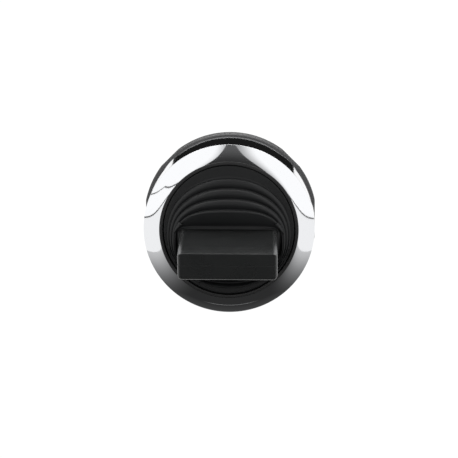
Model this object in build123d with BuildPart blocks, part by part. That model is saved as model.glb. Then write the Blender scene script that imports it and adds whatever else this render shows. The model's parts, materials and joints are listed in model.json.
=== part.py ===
"""Toggle lever operator head for a 22 mm panel hole: chromed bezel, ribbed rubber boot and wide paddle lever.

Frame: +Z up, the head faces -Y, and the origin is the centre of the panel hole on the panel's front face.
The rest pose is the lever on its lower stop. All sizes are in millimetres.
"""

import math
import os

from build123d import *

os.makedirs("parts", exist_ok=True)

# ---- overall sizes -------------------------------------------------------------------------------
bezel_radius = 14.5
bezel_back_radius = 14.55
bezel_edge_height = 2.7
bezel_lip_height = 3.75
bezel_crown = 0.2
bezel_opening_radius = 11.83
bezel_edge_round = 0.35
neck_radius = 11.0
neck_length = 16.5
cavity_radius = 9.7
flange_radius = 12.6
gasket_thickness = 2.2
gasket_radius = 14.95
gasket_half_width = 14.6
gasket_seat_radius = 11.3
gasket_corner_flat = 14.8
seat_clearance = 0.05
press_clearance = 0.02
root_overlap = 0.5
cut_margin = 1.0

# ---- lever ---------------------------------------------------------------------------------------
pivot_depth = 5.2
lever_tilt = 15.0
paddle_width = 16.6
paddle_thickness = 5.0
paddle_root = 4.4
paddle_tip = 16.4
paddle_long_round = 0.8
paddle_tip_round = 0.3
seam_height = 0.25
seam_size = 0.12
seam_boot_gap = 1.0
stem_width = 8.0
stem_thickness = 3.0
stem_tip = 12.0
hub_half_width = 6.85
hub_half_height = 3.2
hub_front = 2.8
hub_back = 2.1
pin_radius = 1.25
pin_half_length = 11.6
cross_pin_radius = 0.6
cross_pin_reach = 5.3
pin_end_gap = 0.1
part_clearance = 0.02

# ---- rocker, pushers and springs -----------------------------------------------------------------
rocker_thickness = 1.4
rocker_half_length = 5.5
nose_radius = 0.9
nose_offset = 4.5
nose_depth = 3.4
ridge_reach = 4.6
ridge_radius = 0.4
ridge_half_base = 1.0
ridge_sink = 0.1
ridge_end_gap = 0.4
screw_radius = 0.7
screw_head_radius = 1.1
screw_head_height = 0.7
rocker_screw_offset = 2.2
rocker_screw_length = 2.3
screw_slot_length = 1.6
screw_slot_width = 0.3
screw_slot_depth = 0.35
pusher_radius = 2.0
pusher_head_radius = 2.8
pusher_head_thickness = 1.2
pusher_offset = 4.5
pusher_gap = 0.2
pusher_rear = 14.0
pusher_chamfer = 0.4
clip_width = 0.4
clip_depth = 0.35
clip_rim = 0.15
clip_mouth = 1.0
groove_margin = 0.2
coil_radius = 2.45
coil_wire_radius = 0.28
coil_turns = 7

# ---- housing details -----------------------------------------------------------------------------
ear_inner = 7.3
ear_half_height = 2.6
ear_wall = 0.25
ear_setback = 0.25
ear_back = 2.6
bush_radius = 1.9
bush_outer = 10.8
bush_flange_radius = 2.5
bush_flange_thickness = 0.4
running_clearance = 0.03
seal_lead = 0.65
seal_minor_radius = 0.42
seal_groove_depth = 0.74
seal_shift_out = 0.02
seal_shift_back = 0.05
web_front = 1.6
web_back = 3.4
web_hole_radius = 3.15
buffer_radius = 0.9
buffer_offset = 4.3
guide_front = 9.0
guide_back = 11.5
boss_offset = 7.6
boss_radius = 1.8
guide_screw_radius = 0.9
guide_screw_head_radius = 1.6
guide_screw_head_height = 1.2
guide_screw_reach = 6.0
guide_screw_end_gap = 1.5
cross_recess_width = 0.4
cross_recess_depth = 0.5
key_width = 3.0
key_depth = 0.8
key_seat_gap = 0.5
lock_slot_width = 2.4
lock_slot_depth = 0.7
lock_slot_start = 9.6
lock_recess_width = 6.0

# ---- boot and trim ring --------------------------------------------------------------------------
trim_inner_radius = 11.2
trim_edge_round = 0.15
trim_stand = 0.25
boot_cup_radius = 11.05
boot_cup_wall = 0.6
boot_height = 3.6
boot_flange_radius = 11.75
boot_flange_thickness = 0.8
boot_wall = 0.6
fold_count = 4
fold_width_start = 10.55
fold_width_step = 0.26
fold_height_start = 9.5
fold_height_step = 0.6
fold_drop_start = 0.5
fold_drop_step = 0.24
fold_rise_step = 0.15
fold_bulge = 0.45
fold_tilt_step = 1.2
fold_power_start = 2.1
fold_power_growth = 0.0073
cuff_power = 6.0
cuff_half_width = 8.75
cuff_half_height = 3.3
cuff_reach = 7.0
outline_points = 32

# ---- detent spring -------------------------------------------------------------------------------
leaf_half_width = 0.7
leaf_thickness = 0.3
leaf_front = 0.9
leaf_flat_half_length = 2.4
leaf_foot_start = 4.9
leaf_foot_end = 7.3
leaf_screw_offset = 6.2
leaf_screw_radius = 0.5
leaf_screw_head_radius = 0.65
leaf_screw_head_height = 0.5
leaf_screw_reach = 1.2

# ---- depths in front of the panel that follow from the pivot and the pieces round it ---------------
ear_front = pivot_depth + bush_radius + ear_wall
flange_depth = ear_front + ear_setback
bezel_edge_depth = flange_depth + bezel_edge_height
bezel_lip_depth = flange_depth + bezel_lip_height
trim_back_depth = flange_depth + boot_flange_thickness
boot_band_depth = flange_depth + boot_height
trim_front_depth = boot_band_depth + trim_stand
seal_depth = gasket_thickness + seal_lead

tilt_sine = math.sin(math.radians(lever_tilt))
tilt_cosine = math.cos(math.radians(lever_tilt))
lever_direction = (0, -tilt_cosine, -tilt_sine)
lever_up = (0, -tilt_sine, tilt_cosine)
lever_axis = Axis((0, -pivot_depth, 0), lever_direction)

# Depth of the rocker's two noses behind the pivot when the lever is down, and where the pushers then stand.
pressed_nose = nose_depth * tilt_cosine + nose_offset * tilt_sine
released_nose = nose_depth * tilt_cosine - nose_offset * tilt_sine
pusher_stroke = pressed_nose - released_nose
upper_pusher_front = -pivot_depth + released_nose + nose_radius + pusher_gap
lower_pusher_front = upper_pusher_front + pusher_stroke
stop_depth = -pivot_depth + pressed_nose + nose_radius
stop_height = nose_offset * tilt_cosine - nose_depth * tilt_sine


def depth_plane(depth):
    """Plane facing the front at the given distance behind the panel's front face, X across and Z up."""
    return Plane.XZ.offset(-depth)


def lever_plane(reach, rise=0.0):
    """Plane across the lever, at a reach along it from the pivot and a rise above its centre line."""
    centre = (
        0,
        -pivot_depth - reach * tilt_cosine - rise * tilt_sine,
        -reach * tilt_sine + rise * tilt_cosine,
    )
    return Plane(origin=centre, x_dir=(1, 0, 0), z_dir=lever_direction)


def lever_flat(rise):
    """Plane along the lever, X across it and Y along it from the pivot, at a rise above its centre line."""
    centre = (0, -pivot_depth - rise * tilt_sine, rise * tilt_cosine)
    return Plane(origin=centre, x_dir=(-1, 0, 0), z_dir=lever_up)


def rounded_outline(half_width, half_height, power):
    """Points of a closed superellipse, from a circle at power 2 to nearly a rectangle at high powers."""
    points = []
    for number in range(outline_points):
        angle = 2 * math.pi * number / outline_points
        across = math.copysign(abs(math.cos(angle)) ** (2 / power), math.cos(angle))
        upward = math.copysign(abs(math.sin(angle)) ** (2 / power), math.sin(angle))
        points.append((half_width * across, half_height * upward))
    return points


def fold_section(number):
    """Plane and outline of one boot line, counted inwards: even numbers are valleys and odd ones are crests."""
    tilt = math.radians(fold_tilt_step * number)
    depth = boot_band_depth + fold_rise_step * number + fold_bulge * (number % 2)
    drop = fold_drop_start + fold_drop_step * number
    plane = Plane(
        origin=(0, -depth, -drop),
        x_dir=(1, 0, 0),
        z_dir=(0, -math.cos(tilt), -math.sin(tilt)),
    )
    power = fold_power_start * math.exp(fold_power_growth * number**2)
    outline = rounded_outline(
        fold_width_start - fold_width_step * number,
        fold_height_start - fold_height_step * number,
        power,
    )
    return plane, outline


def cuff_section():
    """Plane and outline of the boot's inner end, round the root of the paddle."""
    return lever_plane(cuff_reach), rounded_outline(cuff_half_width, cuff_half_height, cuff_power)


def boot_sections():
    """Every boot line from the outer band to the cuff."""
    return [fold_section(number) for number in range(2 * fold_count)] + [cuff_section()]


# ---- bezel: chromed ring with a convex front band ------------------------------------------------
with BuildPart() as bezel:
    with BuildSketch(Plane.XY) as bezel_profile:
        with BuildLine() as bezel_outline:
            Line((flange_radius + seat_clearance, -gasket_thickness), (bezel_back_radius, -gasket_thickness))
            Line((bezel_back_radius, -gasket_thickness), (bezel_radius, -bezel_edge_depth))
            ThreePointArc(
                (bezel_radius, -bezel_edge_depth),
                (
                    (bezel_radius + bezel_opening_radius) / 2,
                    -(bezel_edge_depth + bezel_lip_depth) / 2 - bezel_crown,
                ),
                (bezel_opening_radius, -bezel_lip_depth),
            )
            Polyline(
                (bezel_opening_radius, -bezel_lip_depth),
                (bezel_opening_radius, -flange_depth),
                (flange_radius + seat_clearance, -flange_depth),
                (flange_radius + seat_clearance, -gasket_thickness),
            )
        make_face()
        fillet(bezel_profile.vertices().sort_by(Axis.X)[-1], bezel_edge_round)
    revolve(axis=Axis.Y)
bezel.part.label = "bezel"
export_step(bezel.part, "parts/bezel.step")

# ---- trim ring: thin black ring that holds the boot in the bezel ---------------------------------
with BuildPart() as trim_ring:
    with BuildSketch(depth_plane(-trim_back_depth)):
        Circle(bezel_opening_radius - running_clearance)
        Circle(trim_inner_radius, mode=Mode.SUBTRACT)
    extrude(amount=trim_front_depth - trim_back_depth)
    trim_front_edges = trim_ring.faces().sort_by(Axis.Y)[0].edges()
    fillet(trim_front_edges, trim_edge_round)
trim_ring.part.label = "trim_ring"
export_step(trim_ring.part, "parts/trim_ring.step")

# ---- boot: folded rubber skin from the rim to the root of the paddle -----------------------------
with BuildPart() as boot:
    for section_plane, section_outline in boot_sections():
        with BuildSketch(section_plane):
            with BuildLine():
                Spline(*section_outline, periodic=True)
            make_face()
    loft(ruled=True)
    with BuildSketch(depth_plane(-flange_depth)):
        Circle(boot_cup_radius)
    extrude(amount=boot_band_depth - flange_depth)
    with BuildSketch(depth_plane(-flange_depth)):
        Circle(boot_flange_radius)
    extrude(amount=trim_back_depth - flange_depth)
    with BuildSketch(depth_plane(-flange_depth)):
        Circle(boot_cup_radius - boot_cup_wall)
    extrude(amount=boot_band_depth - boot_wall - flange_depth, mode=Mode.SUBTRACT)
    rim_plane, rim_outline = boot_sections()[0]
    cuff_plane, cuff_outline = cuff_section()
    for section_plane, section_outline in ((rim_plane, rim_outline), (cuff_plane, cuff_outline)):
        inner_plane = Plane(
            origin=section_plane.origin + Vector(0, boot_wall, 0),
            x_dir=section_plane.x_dir,
            z_dir=section_plane.z_dir,
        )
        with BuildSketch(inner_plane):
            with BuildLine():
                Spline(*section_outline, periodic=True)
            make_face()
    loft(ruled=True, mode=Mode.SUBTRACT)
    with BuildSketch(lever_plane(paddle_root)):
        RectangleRounded(
            paddle_width + 2 * seat_clearance,
            paddle_thickness + 2 * seat_clearance,
            paddle_long_round + seat_clearance,
        )
    extrude(amount=paddle_tip - paddle_root, mode=Mode.SUBTRACT)
boot.part.label = "boot"
export_step(boot.part, "parts/boot.step")

# ---- housing: flange behind the bezel, neck through the panel, pivot ears and inner web ----------
with BuildPart() as housing:
    with BuildSketch(Plane.XY):
        with BuildLine():
            Polyline(
                (cavity_radius, -flange_depth),
                (flange_radius, -flange_depth),
                (flange_radius, -seal_depth - seal_minor_radius),
                (flange_radius - seal_groove_depth, -seal_depth - seal_minor_radius),
                (flange_radius - seal_groove_depth, -gasket_thickness),
                (gasket_seat_radius, -gasket_thickness),
                (gasket_seat_radius, 0),
                (neck_radius, 0),
                (neck_radius, neck_length),
                (cavity_radius, neck_length),
                close=True,
            )
        make_face()
    revolve(axis=Axis.Y)
    with BuildSketch(depth_plane(web_back)):
        Circle(cavity_radius + root_overlap)
        with Locations((0, pusher_offset), (0, -pusher_offset)):
            Circle(web_hole_radius, mode=Mode.SUBTRACT)
    extrude(amount=web_back - web_front)
    ear_middle = (ear_inner + cavity_radius + root_overlap) / 2
    with BuildSketch(depth_plane(-ear_back)):
        with Locations((ear_middle, 0), (-ear_middle, 0)):
            Rectangle(cavity_radius + root_overlap - ear_inner, 2 * ear_half_height)
    extrude(amount=ear_front - ear_back)
    with BuildSketch(depth_plane(guide_front)):
        with Locations((boss_offset, 0), (-boss_offset, 0)):
            Circle(boss_radius)
    extrude(amount=guide_front - web_back)
    with BuildSketch(depth_plane(guide_front)):
        with Locations((boss_offset, 0), (-boss_offset, 0)):
            Circle(guide_screw_radius + part_clearance)
    extrude(amount=guide_screw_reach + guide_screw_end_gap - guide_back + guide_front, mode=Mode.SUBTRACT)
    with BuildSketch(depth_plane(web_back)):
        with Locations((leaf_screw_offset, 0), (-leaf_screw_offset, 0)):
            Circle(leaf_screw_radius + part_clearance)
    extrude(amount=web_back - web_front, mode=Mode.SUBTRACT)
    with BuildSketch(Plane.YZ):
        with Locations((-pivot_depth, 0)):
            Circle(bush_radius + part_clearance)
    extrude(amount=flange_radius + cut_margin, both=True, mode=Mode.SUBTRACT)
    with BuildSketch(depth_plane(neck_length)):
        with Locations((0, neck_radius)):
            Rectangle(key_width, 2 * key_depth)
    extrude(amount=neck_length - key_seat_gap, mode=Mode.SUBTRACT)
    with BuildSketch(depth_plane(neck_length)):
        with Locations((neck_radius, 0), (-neck_radius, 0)):
            Rectangle(2 * lock_slot_depth, lock_slot_width)
    extrude(amount=neck_length - lock_slot_start, mode=Mode.SUBTRACT)
    with BuildSketch(depth_plane(lock_slot_start + lock_slot_width)):
        with Locations((neck_radius, 0), (-neck_radius, 0)):
            Rectangle(2 * lock_slot_depth, lock_recess_width)
    extrude(amount=lock_slot_width, mode=Mode.SUBTRACT)
housing.part.label = "housing"
export_step(housing.part, "parts/housing.step")

# ---- panel gasket: flat rubber ring with side flats and shallow corner flats -------------------------------------
with BuildPart() as panel_gasket:
    with BuildSketch(depth_plane(0)):
        Circle(gasket_radius)
        Rectangle(2 * gasket_half_width, 2 * gasket_radius, mode=Mode.INTERSECT)
        Rectangle(2 * gasket_corner_flat, 2 * gasket_corner_flat, rotation=45, mode=Mode.INTERSECT)
        Circle(gasket_seat_radius + seat_clearance, mode=Mode.SUBTRACT)
    extrude(amount=gasket_thickness)
panel_gasket.part.label = "panel_gasket"
export_step(panel_gasket.part, "parts/panel_gasket.step")

# ---- bezel seal: O-ring in the rear corner of the flange -----------------------------------------
with BuildPart() as bezel_seal:
    with BuildSketch(Plane.XY):
        seal_centre = flange_radius - seal_groove_depth / 2 + seal_shift_out
        with Locations((seal_centre, seal_shift_back - seal_depth)):
            Circle(seal_minor_radius - seat_clearance)
    revolve(axis=Axis.Y)
bezel_seal.part.label = "bezel_seal"
export_step(bezel_seal.part, "parts/bezel_seal.step")

# ---- bearing bushes: flanged sleeves that carry the pivot pin in the ears ------------------------
with BuildPart() as bearing_bushes:
    for side in (1, -1):
        start = Plane(origin=(side * ear_inner, -pivot_depth, 0), x_dir=(0, 1, 0), z_dir=(side, 0, 0))
        with BuildSketch(start):
            Circle(bush_radius)
            Circle(pin_radius + running_clearance, mode=Mode.SUBTRACT)
        extrude(amount=bush_outer - ear_inner)
        with BuildSketch(start):
            Circle(bush_flange_radius)
            Circle(pin_radius + running_clearance, mode=Mode.SUBTRACT)
        extrude(amount=-bush_flange_thickness)
bearing_bushes.part.label = "bearing_bushes"
export_step(bearing_bushes.part, "parts/bearing_bushes.step")

# ---- stop buffers: four rubber posts on the web that the rocker lands on -------------------------
with BuildPart() as stop_buffers:
    with BuildSketch(depth_plane(web_front)):
        with GridLocations(2 * buffer_offset, 2 * stop_height, 2, 2):
            Circle(buffer_radius)
    extrude(amount=web_front - stop_depth - press_clearance)
stop_buffers.part.label = "stop_buffers"
export_step(stop_buffers.part, "parts/stop_buffers.step")

# ---- guide plate: disc in the neck with the two pusher holes -------------------------------------
with BuildPart() as guide_plate:
    with BuildSketch(depth_plane(guide_back)):
        Circle(cavity_radius - seat_clearance)
        with Locations((0, pusher_offset), (0, -pusher_offset)):
            Circle(pusher_radius + running_clearance, mode=Mode.SUBTRACT)
        with Locations((boss_offset, 0), (-boss_offset, 0)):
            Circle(guide_screw_radius + part_clearance, mode=Mode.SUBTRACT)
    extrude(amount=guide_back - guide_front)
guide_plate.part.label = "guide_plate"
export_step(guide_plate.part, "parts/guide_plate.step")

# ---- guide screws: two pan-head screws into the housing bosses -----------------------------------
with BuildPart() as guide_screws:
    with BuildSketch(depth_plane(guide_back)):
        with Locations((boss_offset, 0), (-boss_offset, 0)):
            Circle(guide_screw_radius)
    extrude(amount=guide_screw_reach)
    with BuildSketch(depth_plane(guide_back + guide_screw_head_height)):
        with Locations((boss_offset, 0), (-boss_offset, 0)):
            Circle(guide_screw_head_radius)
    extrude(amount=guide_screw_head_height)
    with BuildSketch(depth_plane(guide_back + guide_screw_head_height)):
        with Locations((boss_offset, 0), (-boss_offset, 0)):
            Rectangle(2 * guide_screw_head_radius, cross_recess_width)
            Rectangle(cross_recess_width, 2 * guide_screw_head_radius)
    extrude(amount=cross_recess_depth, mode=Mode.SUBTRACT)
guide_screws.part.label = "guide_screws"
export_step(guide_screws.part, "parts/guide_screws.step")

# ---- detent leaf: sprung steel strip that the rocker's ridge snaps across ------------------------
with BuildPart() as detent_leaf:
    with BuildSketch(Plane.XY):
        with BuildLine():
            leaf_foot_front = web_front - leaf_thickness
            Polyline(
                (-leaf_foot_end, web_front),
                (-leaf_foot_end, leaf_foot_front),
                (-leaf_foot_start, leaf_foot_front),
                (-leaf_flat_half_length, -leaf_front),
                (leaf_flat_half_length, -leaf_front),
                (leaf_foot_start, leaf_foot_front),
                (leaf_foot_end, leaf_foot_front),
                (leaf_foot_end, web_front),
                (leaf_foot_start - leaf_thickness, web_front),
                (leaf_flat_half_length - leaf_thickness / 2, leaf_thickness - leaf_front),
                (leaf_thickness / 2 - leaf_flat_half_length, leaf_thickness - leaf_front),
                (leaf_thickness - leaf_foot_start, web_front),
                close=True,
            )
        make_face()
    extrude(amount=leaf_half_width, both=True)
    with BuildSketch(depth_plane(web_front)):
        with Locations((leaf_screw_offset, 0), (-leaf_screw_offset, 0)):
            Circle(leaf_screw_radius + part_clearance)
    extrude(amount=leaf_thickness, mode=Mode.SUBTRACT)
detent_leaf.part.label = "detent_leaf"
export_step(detent_leaf.part, "parts/detent_leaf.step")

# ---- leaf screws: two small screws through the leaf's feet into the web --------------------------
with BuildPart() as leaf_screws:
    with BuildSketch(depth_plane(web_front + leaf_screw_reach)):
        with Locations((leaf_screw_offset, 0), (-leaf_screw_offset, 0)):
            Circle(leaf_screw_radius)
    extrude(amount=leaf_screw_reach + leaf_thickness)
    with BuildSketch(depth_plane(web_front - leaf_thickness)):
        with Locations((leaf_screw_offset, 0), (-leaf_screw_offset, 0)):
            Circle(leaf_screw_head_radius)
    extrude(amount=leaf_screw_head_height)
leaf_screws.part.label = "leaf_screws"
export_step(leaf_screws.part, "parts/leaf_screws.step")

# ---- paddle: wide moulded grip with rounded edges and a fine mould seam --------------------------
with BuildPart() as paddle:
    with BuildSketch(lever_plane(paddle_root)):
        Rectangle(paddle_width, paddle_thickness)
    extrude(amount=paddle_tip - paddle_root)
    fillet(paddle.edges().filter_by(lever_axis), paddle_long_round)
    fillet(paddle.faces().sort_by(lever_axis)[-1].edges(), paddle_tip_round)
    with BuildSketch(lever_plane(paddle_root)):
        Rectangle(stem_width + 2 * part_clearance, stem_thickness + 2 * part_clearance)
    extrude(amount=stem_tip + part_clearance - paddle_root, mode=Mode.SUBTRACT)
    seam_middle = (paddle_tip + cuff_reach + seam_boot_gap) / 2
    seam_length = paddle_tip - cuff_reach - seam_boot_gap
    with BuildSketch(lever_flat(seam_height)):
        with Locations((0, seam_middle)):
            Rectangle(paddle_width + cut_margin, seam_length)
        with Locations((0, seam_middle - seam_size)):
            Rectangle(paddle_width - 2 * seam_size, seam_length, mode=Mode.SUBTRACT)
    extrude(amount=seam_size, mode=Mode.SUBTRACT)
    with BuildSketch(lever_flat(0)):
        with Locations((0, cross_pin_reach)):
            Circle(cross_pin_radius + part_clearance)
    extrude(amount=paddle_thickness, both=True, mode=Mode.SUBTRACT)
paddle.part.label = "paddle"
export_step(paddle.part, "parts/paddle.step")

# ---- lever core: cast stem and hub inside the paddle ---------------------------------------------
with BuildPart() as lever_core:
    with BuildSketch(lever_plane(-hub_back)):
        Rectangle(2 * hub_half_width, 2 * hub_half_height)
    extrude(amount=hub_front + hub_back)
    with BuildSketch(lever_plane(hub_front)):
        Rectangle(stem_width, stem_thickness)
    extrude(amount=stem_tip - hub_front)
    with BuildSketch(Plane.YZ):
        with Locations((-pivot_depth, 0)):
            Circle(pin_radius + part_clearance)
    extrude(amount=hub_half_width + cut_margin, both=True, mode=Mode.SUBTRACT)
    with BuildSketch(lever_flat(0)):
        with Locations((0, cross_pin_reach)):
            Circle(cross_pin_radius + part_clearance)
    extrude(amount=paddle_thickness, both=True, mode=Mode.SUBTRACT)
    with BuildSketch(lever_plane(-hub_back)):
        with Locations((0, rocker_screw_offset), (0, -rocker_screw_offset)):
            Circle(screw_radius + part_clearance)
    extrude(amount=rocker_screw_length, mode=Mode.SUBTRACT)
lever_core.part.label = "lever_core"
export_step(lever_core.part, "parts/lever_core.step")

# ---- cross pin: holds the paddle on its stem, hidden inside the boot -----------------------------
with BuildPart() as cross_pin:
    with BuildSketch(lever_flat(0)):
        with Locations((0, cross_pin_reach)):
            Circle(cross_pin_radius)
    extrude(amount=paddle_thickness / 2 - pin_end_gap, both=True)
cross_pin.part.label = "cross_pin"
export_step(cross_pin.part, "parts/cross_pin.step")

# ---- pivot pin: steel shaft, fixed in the hub and turning in the bushes --------------------------
with BuildPart() as pivot_pin:
    with BuildSketch(Plane.YZ):
        with Locations((-pivot_depth, 0)):
            Circle(pin_radius)
    extrude(amount=pin_half_length, both=True)
    for side in (1, -1):
        groove = Plane(
            origin=(side * (bush_outer + seat_clearance), -pivot_depth, 0),
            x_dir=(0, 1, 0),
            z_dir=(side, 0, 0),
        )
        with BuildSketch(groove):
            Circle(pin_radius + groove_margin)
            Circle(pin_radius - clip_depth, mode=Mode.SUBTRACT)
        extrude(amount=clip_width, mode=Mode.SUBTRACT)
pivot_pin.part.label = "pivot_pin"
export_step(pivot_pin.part, "parts/pivot_pin.step")

# ---- pin clips: open retaining rings at both ends of the pivot pin -------------------------------
with BuildPart() as pin_clips:
    for side in (1, -1):
        seat = Plane(
            origin=(side * (bush_outer + seat_clearance + part_clearance), -pivot_depth, 0),
            x_dir=(0, 1, 0),
            z_dir=(side, 0, 0),
        )
        with BuildSketch(seat):
            Circle(bush_radius - clip_rim)
            Circle(pin_radius - clip_depth + part_clearance, mode=Mode.SUBTRACT)
            with Locations((0, -bush_radius)):
                Rectangle(clip_mouth, 2 * (bush_radius - groove_margin), mode=Mode.SUBTRACT)
        extrude(amount=clip_width - 2 * part_clearance)
pin_clips.part.label = "pin_clips"
export_step(pin_clips.part, "parts/pin_clips.step")

# ---- rocker: cross beam with two noses for the pushers and a ridge for the leaf ------------------
with BuildPart() as rocker:
    with BuildSketch(lever_plane(-hub_back - rocker_thickness)):
        Rectangle(2 * rocker_half_length, 2 * nose_offset)
    extrude(amount=rocker_thickness)
    rocker_side = Plane(origin=(0, -pivot_depth, 0), x_dir=lever_direction, z_dir=(1, 0, 0))
    with BuildSketch(rocker_side):
        with Locations((-nose_depth, nose_offset), (-nose_depth, -nose_offset)):
            Circle(nose_radius)
    extrude(amount=rocker_half_length, both=True)
    with BuildSketch(rocker_side):
        with BuildLine():
            ridge_flank = ridge_reach - ridge_radius
            Polyline(
                (-hub_back - rocker_thickness + ridge_sink, -ridge_half_base),
                (-ridge_flank, -ridge_radius),
                (-ridge_flank, ridge_radius),
                (-hub_back - rocker_thickness + ridge_sink, ridge_half_base),
                close=True,
            )
        make_face()
        with Locations((-ridge_flank, 0)):
            Circle(ridge_radius)
    extrude(amount=leaf_flat_half_length - ridge_end_gap, both=True)
    with BuildSketch(lever_plane(-hub_back)):
        with Locations((0, rocker_screw_offset), (0, -rocker_screw_offset)):
            Circle(screw_radius + part_clearance)
    extrude(amount=-rocker_thickness, mode=Mode.SUBTRACT)
    with BuildSketch(lever_plane(-hub_back - rocker_thickness)):
        with Locations((0, rocker_screw_offset), (0, -rocker_screw_offset)):
            Circle(screw_head_radius + part_clearance)
    extrude(amount=screw_head_height, mode=Mode.SUBTRACT)
rocker.part.label = "rocker"
export_step(rocker.part, "parts/rocker.step")

# ---- rocker screws: two sunk screws that hold the rocker on the hub ------------------------------
with BuildPart() as rocker_screws:
    with BuildSketch(lever_plane(-hub_back - rocker_thickness)):
        with Locations((0, rocker_screw_offset), (0, -rocker_screw_offset)):
            Circle(screw_head_radius)
    extrude(amount=screw_head_height)
    with BuildSketch(lever_plane(-hub_back - rocker_thickness)):
        with Locations((0, rocker_screw_offset), (0, -rocker_screw_offset)):
            Circle(screw_radius)
    extrude(amount=rocker_thickness + rocker_screw_length - pin_end_gap)
    with BuildSketch(lever_plane(-hub_back - rocker_thickness)):
        with Locations((0, rocker_screw_offset), (0, -rocker_screw_offset)):
            Rectangle(screw_slot_length, screw_slot_width)
    extrude(amount=screw_slot_depth, mode=Mode.SUBTRACT)
rocker_screws.part.label = "rocker_screws"
export_step(rocker_screws.part, "parts/rocker_screws.step")

# ---- pushers and their return springs: the lower one is pressed in while the lever is down -------
pusher_length = pusher_rear - upper_pusher_front
for label, front, height in (
    ("upper", upper_pusher_front, pusher_offset),
    ("lower", lower_pusher_front, -pusher_offset),
):
    with BuildPart() as pusher:
        with BuildSketch(depth_plane(front + pusher_length)):
            with Locations((0, height)):
                Circle(pusher_radius)
        extrude(amount=pusher_length)
        with BuildSketch(depth_plane(front + pusher_head_thickness)):
            with Locations((0, height)):
                Circle(pusher_head_radius)
        extrude(amount=pusher_head_thickness)
        chamfer(pusher.faces().sort_by(Axis.Y)[-1].edges(), pusher_chamfer)
    pusher.part.label = label + "_pusher"
    export_step(pusher.part, "parts/" + label + "_pusher.step")

    coil_start = front + pusher_head_thickness + coil_wire_radius + press_clearance
    coil_length = guide_front - coil_start - coil_wire_radius - press_clearance
    with BuildPart() as coil:
        with BuildLine() as coil_line:
            Helix(
                pitch=coil_length / coil_turns,
                height=coil_length,
                radius=coil_radius,
                center=(0, coil_start, height),
                direction=(0, 1, 0),
            )
        with BuildSketch(Plane(origin=coil_line.line @ 0, z_dir=coil_line.line % 0)):
            Circle(coil_wire_radius)
        sweep(is_frenet=True)
    coil.part.label = label + "_spring"
    export_step(coil.part, "parts/" + label + "_spring.step")
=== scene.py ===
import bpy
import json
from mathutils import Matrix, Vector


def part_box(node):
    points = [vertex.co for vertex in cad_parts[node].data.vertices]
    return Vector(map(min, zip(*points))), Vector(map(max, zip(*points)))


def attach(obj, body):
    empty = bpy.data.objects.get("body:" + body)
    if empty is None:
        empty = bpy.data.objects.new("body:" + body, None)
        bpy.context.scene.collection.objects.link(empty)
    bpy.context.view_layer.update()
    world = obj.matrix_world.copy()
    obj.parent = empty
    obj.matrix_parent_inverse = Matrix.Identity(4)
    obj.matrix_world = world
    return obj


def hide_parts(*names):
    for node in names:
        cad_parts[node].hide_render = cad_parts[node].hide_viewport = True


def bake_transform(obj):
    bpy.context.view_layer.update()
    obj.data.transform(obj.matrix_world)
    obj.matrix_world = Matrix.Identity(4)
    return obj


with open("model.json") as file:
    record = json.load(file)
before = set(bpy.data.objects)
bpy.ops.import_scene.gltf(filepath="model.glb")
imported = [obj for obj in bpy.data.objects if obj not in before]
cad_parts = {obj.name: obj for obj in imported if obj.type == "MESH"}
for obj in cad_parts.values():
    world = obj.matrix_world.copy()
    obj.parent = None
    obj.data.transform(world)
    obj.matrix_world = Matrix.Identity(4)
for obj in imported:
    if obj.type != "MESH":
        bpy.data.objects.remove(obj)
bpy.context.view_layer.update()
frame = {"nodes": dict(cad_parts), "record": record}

"""Looks of a toggle lever operator head: chromed bezel, ribbed rubber boot and wide paddle lever.

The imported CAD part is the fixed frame. Each sub-assembly below is a class that builds its own smooth meshes
from formulas and dresses them, and the hidden CAD nodes get materials of their own. Lengths in the size
classes are millimetres; meshes are metres in the part's own frame (+Z up, the head faces -Y).
"""

import json
import logging
import math
from dataclasses import dataclass
from enum import Enum
from typing import Any, Sequence

import bpy
import numpy as np
from mathutils import Vector

logging.basicConfig(level=logging.INFO, format="%(name)s: %(message)s")
log = logging.getLogger("toggle_head")

MM = 0.001
Array = np.ndarray
# The part of a noise pattern's range that most of its values fall in.
NOISE_LOW, NOISE_HIGH = 0.3, 0.7
# What is known of each line of the boot.
COLUMNS = ("width", "height", "power", "depth", "fold", "drop", "tilt", "share")


# ---- Colour and node helpers ----
def linear_colour(hex_code: str) -> tuple[float, float, float, float]:
    """Turn an sRGB hex colour into the linear RGBA that shaders expect.

    Args:
        hex_code: colour as "#rrggbb".

    Returns:
        Linear red, green, blue and an alpha of one.
    """
    channels = [int(hex_code[i : i + 2], 16) / 255 for i in (1, 3, 5)]
    linear = [c / 12.92 if c <= 0.04045 else ((c + 0.055) / 1.055) ** 2.4 for c in channels]
    return (linear[0], linear[1], linear[2], 1.0)


def add_node(
    tree: bpy.types.NodeTree,
    kind: str,
    settings: dict[str, Any] | None = None,
    inputs: dict[Any, Any] | None = None,
) -> bpy.types.Node:
    """Add one shader node with its settings, constant inputs and links.

    Args:
        tree: node tree that gets the node.
        kind: node type, such as "ShaderNodeBump".
        settings: attributes set on the node itself.
        inputs: input name or index to a constant value or to the output socket that feeds it.

    Returns:
        The new node.
    """
    node = tree.nodes.new(kind)
    for key, value in (settings or {}).items():
        setattr(node, key, value)
    for key, value in (inputs or {}).items():
        if isinstance(value, bpy.types.NodeSocket):
            tree.links.new(value, node.inputs[key])
        else:
            node.inputs[key].default_value = value
    return node


def grain_scale(feature_mm: float) -> float:
    """Noise scale on Object coordinates, in cycles per metre, for features of about the given size."""
    return 1.0 / (feature_mm * MM)


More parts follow.
